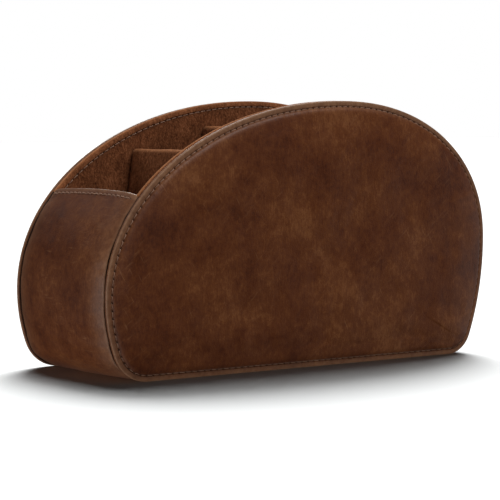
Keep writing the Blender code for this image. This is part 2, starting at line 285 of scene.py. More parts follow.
def ring(side, around, inset, depth):
    """Ring that follows the outline; depth runs from the panel's rim plane towards the inside."""
    x, z, normal_x, normal_z = around
    y = np.broadcast_to(side * (HALF_DEPTH - depth), x.shape)
    return np.stack([x - inset * normal_x, y, z - inset * normal_z], axis=1)


def shrunk(side, around, share, depth):
    """Ring inside the pad's edge, drawn in towards the middle of the panel."""
    points = ring(side, around, PAD_EDGE, 0.0)
    centre = np.array([PAD_CENTRE[0], 0.0, PAD_CENTRE[1]])
    points = centre + (points - centre) * share
    points[:, 1] = side * (HALF_DEPTH - depth)
    return points


def bridge(first_start, first_count, second_start, second_count):
    """Faces between two closed rings; one may have several points to the other's one."""
    if first_count < second_count:
        return bridge(second_start, second_count, first_start, first_count)
    share = first_count // second_count
    index = np.arange(first_count)
    following = (index + 1) % first_count
    if share == 1:
        rows = (first_start + index, first_start + following, second_start + following, second_start + index)
        return np.stack(rows, axis=1).tolist()
    nearest = (index + share - share // 2) // share % second_count
    fans = (first_start + index, first_start + following, second_start + nearest)
    coarse = np.arange(second_count)
    corner = (coarse * share + share // 2) % first_count
    ahead = (coarse + 1) % second_count
    between = (first_start + corner, second_start + ahead, second_start + coarse)
    return np.concatenate([np.stack(fans, axis=1), np.stack(between, axis=1)]).tolist()


scene = bpy.context.scene


def hand_over(piece, node):
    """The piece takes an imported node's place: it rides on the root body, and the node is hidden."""
    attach(piece, "root")
    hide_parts(node)


def make_piece(name, points, faces, material, **marks):
    """Smooth mesh object with its material and the values that it carries."""
    mesh = bpy.data.meshes.new(name)
    mesh.from_pydata(points.tolist(), [], faces)
    for mark, values in marks.items():
        carried = mesh.attributes.new(mark, "FLOAT", "POINT")
        carried.data.foreach_set("value", np.asarray(values, np.float32))
    shape = bmesh.new()
    shape.from_mesh(mesh)
    bmesh.ops.recalc_face_normals(shape, faces=shape.faces)
    shape.to_mesh(mesh)
    shape.free()
    mesh.shade_smooth()
    if material:
        mesh.materials.append(material)
    piece = bpy.data.objects.new(name, mesh)
    scene.collection.objects.link(piece)
    return piece


def skin(name, rings, material, **marks):
    """Closed solid through rings of points, with a point in the middle of both end rings."""
    centres = [rings[0].mean(axis=0)[None], rings[-1].mean(axis=0)[None]]
    points = np.concatenate([*rings, *centres])
    starts = np.cumsum([0] + [len(one_ring) for one_ring in rings])
    faces = []
    for index, (first, second) in enumerate(zip(rings, rings[1:])):
        faces += bridge(starts[index], len(first), starts[index + 1], len(second))
    for centre, start, count in (
        (starts[-1], starts[0], len(rings[0])),
        (starts[-1] + 1, starts[-2], len(rings[-1])),
    ):
        index = np.arange(count)
        spokes = (np.full(count, centre), start + index, start + (index + 1) % count)
        faces += np.stack(spokes, axis=1).tolist()
    values = {}
    for mark, by_ring in marks.items():
        spread = [np.broadcast_to(value, len(one_ring)) for value, one_ring in zip(by_ring, rings)]
        values[mark] = np.concatenate([*spread, [spread[0].mean()], [spread[-1].mean()]])
    return make_piece(name, points, faces, material, **values)


def unit(value):
    """The value held between 0 and 1."""
    return np.clip(value, 0, 1)


def bell(distance, width):
    """1 in the middle, about a third at the width and nearly 0 at twice the width."""
    return np.exp(-(distance / width) ** 2)


def waves(first, second, size, seed):
    """Smooth relief, mostly between -1 and 1, whose hollows lie about that size apart."""
    draw = np.random.default_rng(seed)
    headings = draw.uniform(0, math.tau, WAVE_COUNT)
    spreads = draw.uniform(0.6, 1.7, WAVE_COUNT)
    phases = draw.uniform(0, math.tau, WAVE_COUNT)
    total = np.zeros(np.broadcast(first, second).shape)
    for heading, spread, phase in zip(headings, spreads, phases):
        along = first * math.cos(heading) + second * math.sin(heading)
        total = total + np.cos(math.tau * along / (size * spread) + phase)
    return total / math.sqrt(WAVE_COUNT)


def seam_channel(inset, depth):
    """Depth of the groove that the stitches pull the leather or the suede into."""
    offset = np.clip((inset - SEAM_INSET) / SEAM_HALF_WIDTH, -1, 1)
    return depth * np.cos(offset * math.pi / 2) ** 2


def face_depth(inset):
    """Depth of the leather below the rim plane, over the seam's channel and the pad's slope."""
    rolled = unit((inset - SEAM_INSET - PAD_FOOT) / PAD_ROLL_WIDTH)
    sloping = unit((inset - SEAM_INSET - PAD_FOOT) / PAD_SLOPE_WIDTH)
    roll = PAD_ROLL_RISE * np.sqrt(1 - (1 - rolled) ** 2)
    return seam_channel(inset, SEAM_DEPTH) - roll - PAD_SLOPE_RISE * (1 - (1 - sloping) ** 2)


pad_ring = ring(1, coarse_outline, PAD_EDGE, 0.0)
pad_reach = (pad_ring[:, 0] - PAD_CENTRE[0]) * coarse_outline[2]
pad_reach += (pad_ring[:, 2] - PAD_CENTRE[1]) * coarse_outline[3]


def crown_depth(share):
    """Depth of the pad round a ring; share is 1 at its edge and 0 in its middle."""
    return face_depth(PAD_EDGE + (1 - share) * pad_reach) - PAD_CROWN * (1 - share ** 2)


INNER_SHARES = np.linspace(0.02, 1.0, 44)[:-1]
SWOLLEN_SHARES = INNER_SHARES[4:]
SWOLLEN_INSETS = np.linspace(PAD_EDGE, SEAM_INSET + PAD_FOOT, 8)
CLOTH_FRAMES = 20
CLOTH_PRESSURE = 4.0


def swollen(points, faces, held, limit):
    """How far each point of a cloth moves when the foam swells it and some points are held."""
    sheet = make_piece("swelling_cloth", points, faces, None)
    pinned = sheet.vertex_groups.new(name="held")
    pinned.add(held.tolist(), 1.0, "ADD")
    settings = sheet.modifiers.new("cloth", "CLOTH").settings
    settings.vertex_group_mass = pinned.name
    settings.use_pressure = True
    settings.uniform_pressure_force = CLOTH_PRESSURE
    settings.effector_weights.gravity = 0.0
    for moment in range(1, CLOTH_FRAMES + 1):
        scene.frame_set(moment)
    shape = sheet.evaluated_get(bpy.context.evaluated_depsgraph_get())
    places = np.empty(points.size, np.float32)
    shape.data.vertices.foreach_get("co", places)
    moved = places.reshape(-1, 3) - points
    bpy.data.meshes.remove(sheet.data)
    scene.frame_set(1)
    reach = np.linalg.norm(moved, axis=1)
    return moved * limit / max(reach.max(), limit)


def panel_swelling(side):
    """Swelling of one panel's face, on rings with a point at each stitch."""
    step = POINTS_PER_STITCH // COARSE_SHARE
    around = [column[::step] for column in coarse_outline]
    rings = [shrunk(side, around, share, crown_depth(share)[::step]) for share in SWOLLEN_SHARES]
    rings += [ring(side, around, inset, face_depth(inset)) for inset in SWOLLEN_INSETS]
    faces = []
    for start in range(0, (len(rings) - 1) * STITCH_COUNT, STITCH_COUNT):
        faces += bridge(start, STITCH_COUNT, start + STITCH_COUNT, STITCH_COUNT)
    points = np.concatenate(rings)
    held = np.arange(len(points) - STITCH_COUNT, len(points))
    moved = swollen(points, faces, held, SWELL_LIMIT)
    return np.abs(moved[:, 1]).reshape(len(rings), STITCH_COUNT)


swellings = {side: panel_swelling(side) for side in (-1, 1)}


def swell(side, row, count):
    """Swelling all the way round, at a row between two rings of the swelling cloth."""
    rows = swellings[side]
    row = np.clip(row, 0, len(rows) - 1)
    below = rows[math.floor(row)]
    blended = below + (row % 1) * (rows[math.ceil(row)] - below)
    around = np.arange(count) * STITCH_COUNT / count
    return np.interp(around, np.arange(STITCH_COUNT), blended, period=STITCH_COUNT)


def swell_inside(side, share):
    """Swelling round a ring inside the pad's edge."""
    row = np.interp(share, [*SWOLLEN_SHARES, 1.0], np.arange(len(SWOLLEN_SHARES) + 1))
    return swell(side, row, len(pad_reach))


def swell_slope(side, inset, count):
    """Swelling on a ring of the slope or the seam."""
    last = len(SWOLLEN_INSETS) - 1
    row = (PAD_EDGE - inset) / (SWOLLEN_INSETS[0] - SWOLLEN_INSETS[-1]) * last
    return swell(side, len(SWOLLEN_SHARES) + np.clip(row, 0, last), count)


def foam_finish(place):
    bubbles = place.cells(0.55)
    pores = place.cells(0.28)
    tone = 0.5 * place.clouds(9.0) + 0.5 * bubbles
    return {
        "Base Color": tone.ramp((0.2, (0.62, 0.57, 0.44)), (0.7, (0.80, 0.76, 0.64))),
        "Roughness": 1.0 - 0.1 * bubbles,
        "Normal": (bubbles + 0.5 * pores).bump(0.00015),
        "Specular IOR Level": 0.15,
    }


foam = make_material("foam", foam_finish)
FOAM_BACK = LEATHER_THICKNESS + GAP + 0.0014
FOAM_INSET = 0.0046
FOAM_CLEARANCE = LEATHER_THICKNESS + 0.0001


def build_panel_foam(side, name, node):
    slope = np.linspace(FOAM_INSET, PAD_EDGE, 10)[1:]
    around = coarse_outline
    rings = []
    for share in INNER_SHARES:
        depth = crown_depth(share) - swell_inside(side, share) + FOAM_CLEARANCE
        rings.append(shrunk(side, around, share, depth))
    for inset in slope[::-1]:
        depth = face_depth(inset) - swell_slope(side, inset, len(pad_reach)) + FOAM_CLEARANCE
        rings.append(ring(side, around, inset, depth))
    edge_front = face_depth(slope[0]) + FOAM_CLEARANCE
    rings.append(ring(side, around, FOAM_INSET, (edge_front + FOAM_BACK) / 2))
    rings.append(ring(side, around, slope[0], FOAM_BACK))
    rings += [shrunk(side, around, share, FOAM_BACK) for share in (0.9, 0.5, 0.1)]
    hand_over(skin(name, rings, foam), node)


build_panel_foam(-1, "front_panel_foam", "front_padding")
build_panel_foam(1, "back_panel_foam", "back_padding")


# Panel leather
# Waxed brown cowhide is stretched over the foam and turned round the panel's edge up to its crest. The
# hide is mottled, with darker clouds, tan patches and fine scratches. Its rim is painted lighter, a little
# as rubbed wear and mostly as painted light on the parts that face up and a painted highlight along the
# crest.
# Its needle holes, seam channel and the crease against the suede are darkened with painted shade.

RELIEF_START = 0.0045
RELIEF_FADE = 0.008
PAD_RADIUS = 0.06


def leather_finish(place):
    moved = place.swirled(26.0, 14.0)
    broad = moved.clouds(38.0, 2.0)
    mottle = moved.clouds(11.0, 4.0, 0.62)
    small = place.swirled(6.0, 4.0).clouds(3.2, 4.0, 0.65)
    fuzz = place.swirled(1.5, 1.0).clouds(0.9, 3.0, 0.65)
    hairs = place.swirled(7.0, 3.0).stretched(1.0, 1.0, 0.16).clouds(0.8, 3.0, 0.6)
    tone = 0.30 * broad + 0.20 * mottle + 0.20 * small + 0.12 * fuzz + 0.18 * hairs
    hide = tone.ramp(
        (0.39, (0.088, 0.0195, 0.0052)),
        (0.46, (0.136, 0.0335, 0.0082)),
        (0.53, (0.190, 0.0545, 0.0138)),
        (0.60, (0.280, 0.0970, 0.0290)),
    )
    drawn = place.turned(0, 40, 0).stretched(0.10, 0.10, 1.0)
    streaks = drawn.swirled(4.0, 1.4).clouds(1.2, 3.0, 0.55).rise(0.58, 0.74)
    crossing = place.turned(0, -62, 0).stretched(0.07, 0.07, 1.0).swirled(5.0, 1.5)
    hairlines = crossing.clouds(0.8, 2.0).rise(0.64, 0.74)
    scattered = place.clouds(24.0, 2.0).rise(0.44, 0.62)
    scratches = (0.6 * streaks + 0.8 * hairlines) * scattered
    scratched = (0.34 * scratches).tint(hide, (0.44, 0.20, 0.085))
    pores = place.swirled(1.5, 0.5).cells(0.62)
    pitted = (0.12 * pores.rise(0.30, 0.05)).tint(scratched, (0.03, 0.008, 0.003))
    # The wear mark lightens the hide a little as rubbed wear and mostly as painted highlights on rims,
    # crests and the parts that face up. The shade mark paints near-black shade into needle holes, channels,
    # grooves and creases.
    wear = place.mark("wear")
    rubbed_and_lit = (wear * (small + 0.12)).tint(pitted, (0.50, 0.285, 0.165))
    hollow = place.mark("hollow")
    grain = 0.8 * pores + 0.35 * fuzz + 0.5 * small - 0.3 * scratches
    return {
        "Base Color": hollow.tint(rubbed_and_lit, (0.010, 0.004, 0.002)),
        "Roughness": 0.47 + 0.28 * (mottle - 0.5) + 0.2 * hollow - 0.08 * wear,
        "Normal": grain.bump(0.00007),
        "Specular IOR Level": 0.32,
        "Sheen Weight": 0.04,
        "Sheen Roughness": 0.4,
        "Sheen Tint": (1.0, 0.80, 0.68, 1.0),
    }


leather = make_material("waxed_leather", leather_finish)

# The turned edge, as insets and depths.
LEATHER_LIP = (
    (0.0024, 0.0), (0.0012, 0.00002), (0.00055, 0.00012), (0.00018, 0.00035), (0.00003, 0.0008),
    (0.00004, 0.0016), (0.0002, 0.0020), (0.0007, 0.0023), (0.0014, 0.0025), (0.0020, 0.0027),
)
LEATHER_TURN = ((0.0026, 0.0024), (0.0030, 0.0016))
# Painted highlight along a rim's crest, with a little rubbed wear, as the depth of the middle, the reach and
# the strength.
FRONT_RUB_AND_HIGHLIGHT = (0.0004, 0.0004, 0.80)
BACK_RUB_AND_HIGHLIGHT = (0.0008, 0.0008, 1.40)

HOLE_LENGTH = 0.00044
HOLE_WIDTH = 0.00040
HOLE_DEPTH = 0.0005
GATHER_DEPTH = 0.00007
GATHER_REACH = 0.0013
PAINTED_TOP_LIGHT = 0.30

stitch_phase = np.arange(FINE_COUNT) % POINTS_PER_STITCH
from_hole = np.minimum(stitch_phase, POINTS_PER_STITCH - stitch_phase) / POINTS_PER_STITCH * STITCH_PITCH


def needle_holes(along, from_seam):
    """How deep a place lies in a needle hole, from its distances along and across the seam."""
    reach = (along / HOLE_LENGTH) ** 2 + (from_seam / HOLE_WIDTH) ** 2
    return np.exp(-reach ** 1.5)


def smoothed(corners):
    """A line of points whose corners are cut three times over."""
    line = np.array(corners)
    for _ in range(3):
        first = 0.75 * line[:-1] + 0.25 * line[1:]
        second = 0.25 * line[:-1] + 0.75 * line[1:]
        cut = np.stack([first, second], axis=1).reshape(-1, line.shape[1])
        line = np.concatenate([line[:1], cut[1:-1], line[-1:]])
    return line


def relief(side, x, z, inset):
    """How far the leather lies in or out because the foam under it is uneven."""
    faded = unit((inset - RELIEF_START) / RELIEF_FADE)
    uneven = 0.00020 * waves(x, z, 0.040, 11 + side) + 0.00006 * waves(x, z, 0.015, 21 + side)
    return faded * (uneven + 0.000016 * waves(x, z, 0.005, 31 + side))


class Rings:
    """Rings of points from one side of a skin to the other, with the wear and painted highlights and the
    painted shade that they carry.
    """

    def __init__(self):
        self.rings, self.wear, self.hollow = [], [], []

    def add(self, points, worn_and_lit=0.0, painted_shading=0.0):
        self.rings.append(points)
        self.wear.append(worn_and_lit)
        self.hollow.append(painted_shading)

    def solid(self, name, material):
        return skin(name, self.rings, material, wear=self.wear, hollow=self.hollow)


def build_panel_leather(side, name, node):
    """The leather's outer side from the middle to the crest, then its inner side back."""
    gathers = GATHER_DEPTH * np.cos(math.tau * stitch_phase / POINTS_PER_STITCH)
    # Parts of the rim that face up are painted lighter, as painted light from above.
    painted_top_light = PAINTED_TOP_LIGHT * unit(fine_outline[3])
    hide = Rings()
    for share in INNER_SHARES:
        points = shrunk(side, coarse_outline, share, 0.0)
        inset = PAD_EDGE + (1 - share) * PAD_RADIUS
        uneven = relief(side, points[:, 0], points[:, 2], inset)
        depth = crown_depth(share) - swell_inside(side, share) + uneven
        points[:, 1] = side * (HALF_DEPTH - depth)
        hide.add(points)

    slope = PAD_EDGE - (PAD_EDGE - SEAM_INNER) * np.linspace(0, 1, 14) ** 0.8
    channel = np.linspace(SEAM_INNER, SEAM_OUTER, 13)[1:]
    for inset in (*slope, *channel[:-1]):
        from_seam = inset - SEAM_INSET
        # Painted shade darkens the needle holes and the channel; the band outside the seam is painted
        # lighter, a little as rubbed wear and more as painted light where it faces up.
        hole = needle_holes(from_hole, from_seam)
        uneven = relief(side, fine_outline[0], fine_outline[1], inset)
        depth = face_depth(inset) - swell_slope(side, inset, FINE_COUNT) + uneven
        depth = depth + HOLE_DEPTH * hole + gathers * np.exp(-abs(from_seam) / GATHER_REACH)
        trench = bell(from_seam, 0.0006)
        worn_and_lit = (0.12 + painted_top_light) * math.exp(-max(from_seam, 0.0) / 0.0008)
        hide.add(ring(side, fine_outline, inset, depth), worn_and_lit, 0.85 * hole + 0.04 * trench)

    middle, reach, rubbed_and_lit = FRONT_RUB_AND_HIGHLIGHT if side < 0 else BACK_RUB_AND_HIGHLIGHT
    # The lip is painted lighter, a little as rubbed wear, with painted light where it faces up and a painted
    # highlight along the crest; the part pressed against the suede is darkened with painted shade.
    for inset, depth in smoothed(LEATHER_LIP):
        worn_and_lit = 0.10 + painted_top_light + rubbed_and_lit * bell(depth - middle, reach)
        buried = unit((inset - 0.0003) / 0.0007) * (depth > 0.0012)
        pull = gathers * math.exp(-(SEAM_INSET - inset) / GATHER_REACH)
        hide.add(ring(side, fine_outline, inset, depth + pull), worn_and_lit, 0.9 * buried)
    for inset, depth in LEATHER_TURN:
        hide.add(ring(side, coarse_outline, inset, depth))
    for inset in np.linspace(FOAM_INSET, PAD_EDGE, 5):
        hide.add(ring(side, coarse_outline, inset, face_depth(inset) + LEATHER_THICKNESS))
    for share in INNER_SHARES[::-4]:
        depth = crown_depth(share) - swell_inside(side, share) + LEATHER_THICKNESS
        hide.add(shrunk(side, coarse_outline, share, depth))
    hand_over(hide.solid(name, leather), node)


build_panel_leather(-1, "front_panel_leather", "front_leather")
build_panel_leather(1, "back_panel_leather", "back_leather")


# Panel lining
# Brown suede lines the inside of each panel and turns round the edge to meet the leather at the crest.
# Its nap is brushed this way and that. The orange glow on its rolled edge and near the crest is a painted
# highlight, and its needle holes, seam channel and the edge pressed against the leather carry painted shade.

SUEDE_THICKNESS = 0.001
SUEDE_LIP = (
    (0.0024, 0.0060), (0.0016, 0.00596), (0.0009, 0.0058), (0.0004, 0.0055), (0.0001, 0.0050), (0.0, 0.0044),
    (0.00002, 0.0036), (0.00015, 0.0030), (0.0005, 0.0027), (0.0010, 0.0028),
)
SUEDE_TURN = ((0.0014, 0.0040), (0.0022, 0.0048))
LINING_HOLE_DEPTH = 0.0006
LINING_SEAM_DEPTH = 0.0003
LINING_CUT = 0.0031
HEM_HEIGHT = 0.0892
HEM_COVER = 0.0016


def suede_finish(place):
    brushed = place.swirled(18.0, 16.0).clouds(10.0, 3.0, 0.55)
    combed = place.swirled(11.0, 9.0)
    strokes = combed.stretched(1.0, 1.0, 0.38).clouds(0.95, 2.0, 0.6)
    fine_strokes = combed.turned(0, 14, 0).stretched(1.0, 1.0, 0.42).clouds(0.55, 2.0, 0.65)
    tufts = place.swirled(2.0, 1.5).clouds(1.1, 2.0, 0.65)
    nap = 0.20 * brushed + 0.34 * strokes + 0.22 * fine_strokes + 0.24 * tufts
    hide = nap.ramp(
        (0.38, (0.085, 0.0240, 0.0085)),
        (0.47, (0.180, 0.0580, 0.0215)),
        (0.55, (0.290, 0.1010, 0.0400)),
        (0.64, (0.470, 0.1850, 0.0830)),
    )
    # The wear mark paints an orange highlight onto the nap where the suede is lit on edges and crests, and
    # the shade mark paints dark shade into holes, channels and joints.
    wear = place.mark("wear")
    glowing_nap = (wear * (0.55 + 1.4 * (nap - 0.5))).tint(hide, (0.74, 0.290, 0.110))
    hollow = place.mark("hollow")
    return {
        "Base Color": hollow.tint(glowing_nap, (0.010, 0.004, 0.002)),
        "Roughness": 0.92 - 0.12 * strokes,
        "Normal": (0.8 * strokes + 0.6 * fine_strokes + 0.6 * tufts).bump(0.00028),
        "Specular IOR Level": 0.10,
        "Sheen Weight": 0.30,
        "Sheen Roughness": 0.45,
        "Sheen Tint": (1.0, 0.55, 0.30, 1.0),
    }


suede = make_material("brushed_suede", suede_finish)


LEFT_HEM = np.interp(-HEM_HEIGHT, -left_side[:ARCH_STEPS, 1], outline_lengths[:ARCH_STEPS])
right_lengths = travelled(right_side[:, 0], right_side[:, 1])
RIGHT_HEM = LAP - np.interp(-HEM_HEIGHT, -right_side[:ARCH_STEPS, 1], right_lengths[:ARCH_STEPS])


def trimmed(inset, distances):
    """Inset of the suede, whose edge is cut back where the band covers it."""
    covered = unit(np.minimum(distances - LEFT_HEM, RIGHT_HEM - distances) / HEM_COVER - 0.5)
    cut = LINING_CUT * covered
    return cut + inset * (PAD_EDGE - cut) / PAD_EDGE


def build_panel_lining(side, name, node):
    """The suede's inner side from the middle to the crest, then its hidden side back."""
    nap = Rings()
    for share in INNER_SHARES[::2]:
        points = shrunk(side, coarse_outline, share, 0.0)
        uneven = 0.00008 * (1 + waves(points[:, 0], points[:, 2], 0.022, 41 + side)) * (1 - share ** 8)
        points[:, 1] = side * (HALF_CAVITY + uneven)
        nap.add(points)
    flat = np.linspace(PAD_EDGE, SEAM_INNER, 6)
    channel = np.linspace(SEAM_INNER, SEAM_OUTER, 11)[1:]
    for inset in (*flat, *channel[:-1]):
        from_seam = inset - SEAM_INSET
        hole = needle_holes(from_hole, from_seam)
        depth = PANEL_THICKNESS - seam_channel(inset, LINING_SEAM_DEPTH) - LINING_HOLE_DEPTH * hole
        # The suede is painted lighter towards the crest as a painted highlight, and painted shade darkens
        # its needle holes and channel.
        toward_crest = unit((SEAM_INSET - inset) / SEAM_INSET)
        trench = bell(from_seam, 0.0012)
        placed = ring(side, fine_outline, trimmed(inset, fine_distances), depth)
        nap.add(placed, 0.25 * toward_crest ** 2, unit(1.4 * hole + 0.4 * trench))
    for inset, depth in smoothed(SUEDE_LIP):
        # The lip gets an orange painted highlight round its rolled middle, and the part pressed against the
        # leather is darkened with painted shade.
        worn_and_lit = 0.1 + 0.9 * bell(depth - 0.0042, 0.0010)
        buried = unit((inset - 0.0003) / 0.0006) * (depth < 0.0036)
        nap.add(ring(side, fine_outline, trimmed(inset, fine_distances), depth), worn_and_lit, 0.9 * buried)
    for inset, depth in SUEDE_TURN:
        nap.add(ring(side, coarse_outline, trimmed(inset, fine_distances[::COARSE_SHARE]), depth))
    for share in (0.98, 0.6, 0.2):
        nap.add(shrunk(side, coarse_outline, share, PANEL_THICKNESS - SUEDE_THICKNESS))
    hand_over(nap.solid(name, suede), node)


build_panel_lining(-1, "front_panel_suede", "front_lining")
build_panel_lining(1, "back_panel_suede", "back_lining")


# Panel stitches
# One row of lockstitch goes through each panel, close to its edge. The waxed two-ply thread lies in a
# channel on both faces and dips into a needle hole after every stitch.

THREAD_RADIUS = 0.00026
THREAD_SIDES = 10
THREAD_STEPS = 15
THREAD_ENTRY = 0.022
THREAD_EXIT = 0.0028
HEM_CLEARANCE = 0.0015


def thread_finish(place):
    strands = place.clouds(0.22, 3.0, 0.6)
    dirt = place.clouds(6.0, 2.0)
    tone = 0.5 * strands + 0.5 * dirt
    return {
        "Base Color": tone.ramp((0.35, (0.27, 0.130, 0.080)), (0.65, (0.52, 0.310, 0.210))),
        "Roughness": 0.62 + 0.2 * (strands - 0.5),
        "Normal": strands.bump(0.00006),
        "Specular IOR Level": 0.35,
        "Sheen Weight": 0.2,
        "Sheen Roughness": 0.5,
        "Sheen Tint": (1.0, 0.75, 0.6, 1.0),
    }


thread = make_material("waxed_thread", thread_finish)


def stitch_row(name, starts, ends, outward, node, entry=0.24, drop=0.34, thickness=1.0):
    """Stitches between needle holes; each rises until entry and goes down from drop on, as shares of its
    length, and outward points away from the leather."""
    share = np.linspace(0, 1, THREAD_STEPS)
    rising = THREAD_ENTRY * np.clip(entry - share, 0, None) ** 2
    falling = THREAD_EXIT * np.clip(share - drop, 0, None) ** 2 * (0.6 / (1 - drop)) ** 2
    height = THREAD_RADIUS * 0.9 * thickness - rising - falling
    path = starts[:, None] + (ends - starts)[:, None] * share[:, None]
    path = path + outward[:, None] * height[:, None]
    heading = np.gradient(path, axis=1)
    heading /= np.linalg.norm(heading, axis=2, keepdims=True)
    sideways = np.cross(heading, outward[:, None])
    sideways /= np.linalg.norm(sideways, axis=2, keepdims=True)
    upwards = np.cross(sideways, heading)
    turn = np.linspace(0, math.tau, THREAD_SIDES, endpoint=False)
    twist = 2 * (turn + 5.0 * share[:, None])
    swell = 1 - 0.25 * np.abs(2 * share - 1) ** 3
    radius = THREAD_RADIUS * thickness * swell[:, None] * (1 + 0.13 * np.cos(twist))
    across = (radius * np.cos(turn))[..., None] * sideways[:, :, None]
    above = (radius * np.sin(turn))[..., None] * upwards[:, :, None]
    points = path[:, :, None] + across + above
    index = np.arange(points[..., 0].size).reshape(points.shape[:3])
    following = np.roll(index, -1, axis=2)
    corners = (index[:, :-1], following[:, :-1], following[:, 1:], index[:, 1:])
    faces = np.stack([corner.ravel() for corner in corners], axis=1).tolist()
    faces += index[:, [0, -1]].reshape(-1, THREAD_SIDES).tolist()
    hand_over(make_piece(name, points.reshape(-1, 3), faces, thread), node)


def panel_stitches(side, name, node, depth, facing, chosen):
    """Stitches of one face of a panel; facing is 1 where that face looks out of the organizer."""
    holes = ring(side, fine_outline, SEAM_INSET, depth)[::POINTS_PER_STITCH]
    starts = holes[chosen]
    ends = np.roll(holes, -1, axis=0)[chosen]
    outward = np.broadcast_to([0.0, side * facing, 0.0], starts.shape)
    stitch_row(name, starts, ends, outward, node)


every_stitch = np.arange(STITCH_COUNT)
middles = fine_distances[::POINTS_PER_STITCH] + STITCH_PITCH / 2
above_hems = (middles < LEFT_HEM - HEM_CLEARANCE) | (middles > RIGHT_HEM + HEM_CLEARANCE)
open_stitches = every_stitch[above_hems]
inner_depth = PANEL_THICKNESS - LINING_SEAM_DEPTH
panel_stitches(-1, "front_seam_stitches", "front_seam_thread", SEAM_DEPTH, 1, every_stitch)
panel_stitches(1, "back_seam_stitches", "back_seam_thread", SEAM_DEPTH, 1, every_stitch)
panel_stitches(-1, "front_inner_stitches", "front_bobbin_thread", inner_depth, -1, open_stitches)
panel_stitches(1, "back_inner_stitches", "back_bobbin_thread", inner_depth, -1, open_stitches)


# Gusset foam
# A strip of foam lies on the boards of the band that joins the panels, down one end, under the floor and
# up the other. It is thick in the middle and skived away at both edges, which gives the band its crown.

GUSSET_INSET = 0.0028
GUSSET_CROWN = 0.0028
END_CROWN = 0.0050
CROWN_GROWTH_HEIGHT = 0.012
GUSSET_ROLL_WIDTH = 0.0110
GUSSET_BOARD_INSET = GUSSET_INSET + LEATHER_THICKNESS + GAP
HALF_BAND = HALF_CAVITY - GAP
HALF_COVER = HALF_DEPTH - RIM_RADIUS - GAP
FOAM_HALF_BAND = HALF_BAND - 0.0024
HEM_STITCHES = 20
BAND_STEP = 0.0016


def crown(y, height):
    """How far the band stands out of its edges; it is fuller on the ends than under the floor."""
    grown = unit(height / CROWN_GROWTH_HEIGHT)
    full = GUSSET_CROWN + (END_CROWN - GUSSET_CROWN) * grown ** 2 * (3 - 2 * grown)
    share = unit((np.abs(y) - (HALF_COVER - GUSSET_ROLL_WIDTH)) / GUSSET_ROLL_WIDTH)
    rolled = 1 - 0.48 * share ** 2.4
    domed = 1 - 0.14 * np.abs(y / HALF_COVER) ** 2
    return full * rolled * domed


def band(distance, inset, y):
    """Points of the band at distances round the outline, an inset below it and a place across it."""
    x, z, normal_x, normal_z = outline_at(distance)
    columns = np.broadcast_arrays(x - inset * normal_x, y, z - inset * normal_z)
    return np.stack(columns, axis=-1)


def grid_faces(index):
    """Faces between the points of a grid, from the grid of their numbers."""
    corners = (index[:-1, :-1], index[1:, :-1], index[1:, 1:], index[:-1, 1:])
    return np.stack([corner.ravel() for corner in corners], axis=1)


def slab(name, outer, inner, material, **marks):
    """Closed solid between two grids of points with equal rows and columns."""
    rows, columns = outer.shape[:2]
    index = np.arange(rows * columns).reshape(rows, columns)
    top = grid_faces(index)
    under = top[:, ::-1] + rows * columns
    border = np.concatenate([index[0], index[1:, -1], index[-1, -2::-1], index[-2:0:-1, 0]])
    following = np.roll(border, -1)
    sides = np.stack([border, following, following + rows * columns, border + rows * columns], axis=1)
    faces = np.concatenate([top, under, sides]).tolist()
    points = np.concatenate([outer.reshape(-1, 3), inner.reshape(-1, 3)])
    values = {}
    for mark, value in marks.items():
        spread = np.broadcast_to(value, (rows, columns)).ravel()
        values[mark] = np.concatenate([spread, spread])
    return make_piece(name, points, faces, material, **values)


def inner_side(grid, thickness):
    """Grid one thickness below another, on the side that its rows and columns turn away from."""
    down_rows = np.gradient(grid, axis=0)
    along_columns = np.gradient(grid, axis=1)
    normal = np.cross(down_rows, along_columns)
    normal /= np.linalg.norm(normal, axis=2, keepdims=True)
    return grid - normal * thickness


foam_y = np.linspace(-FOAM_HALF_BAND, FOAM_HALF_BAND, 61)[None, :]
foam_ends = LEATHER_THICKNESS + GAP
foam_distances = np.arange(LEFT_HEM + foam_ends, RIGHT_HEM - foam_ends, BAND_STEP)[:, None]
foam_heights = outline_at(foam_distances)[1]
foam_outer = band(foam_distances, GUSSET_BOARD_INSET - GAP - 0.0002 - crown(foam_y, foam_heights), foam_y)
foam_inner = band(foam_distances, np.array(GUSSET_BOARD_INSET - GAP), foam_y)
hand_over(slab("gusset_foam", foam_outer, foam_inner, foam), "gusset_padding")


# Gusset leather
# One long strip of the same hide covers the band. Its edges are drawn into the seams with the panels,
# which gathers them in small creases, and at both ends it is folded in over a stitched hem.

FOLD_END = GUSSET_BOARD_INSET + 0.0015
HEM_ROUND = 0.0009
HEM_ARCH = 0.0011
HEM_SEAM = 0.0034
HEM_SEAM_DEPTH = 0.0002
HEM_HOLE_DEPTH = 0.0006
HEM_FINE_LENGTH = 0.0056
EDGE_TUCK = 0.0003
BAND_SWELL_LIMIT = 0.0008

band_y = np.linspace(-HALF_COVER, HALF_COVER, 8 * HEM_STITCHES + 1)
fold = np.linspace(1, 0, 12)
fold_drop = HEM_ROUND * (1 - (1 - np.abs(2 * fold - 1) ** 2.4) ** (1 / 2.4))
near_hem = HEM_ROUND + np.linspace(0, HEM_FINE_LENGTH, 26)[1:]
middle_rows = round((RIGHT_HEM - LEFT_HEM) / BAND_STEP)
middle = np.linspace(LEFT_HEM + near_hem[-1], RIGHT_HEM - near_hem[-1], middle_rows)
from_hem = np.concatenate([fold_drop, near_hem[:-1]])
band_rows = np.concatenate([LEFT_HEM + from_hem, middle, RIGHT_HEM - from_hem[::-1]])[:, None]
no_fold = np.zeros(len(band_rows) - 2 * len(fold))
folded = np.concatenate([fold, no_fold, fold[::-1]])[:, None]


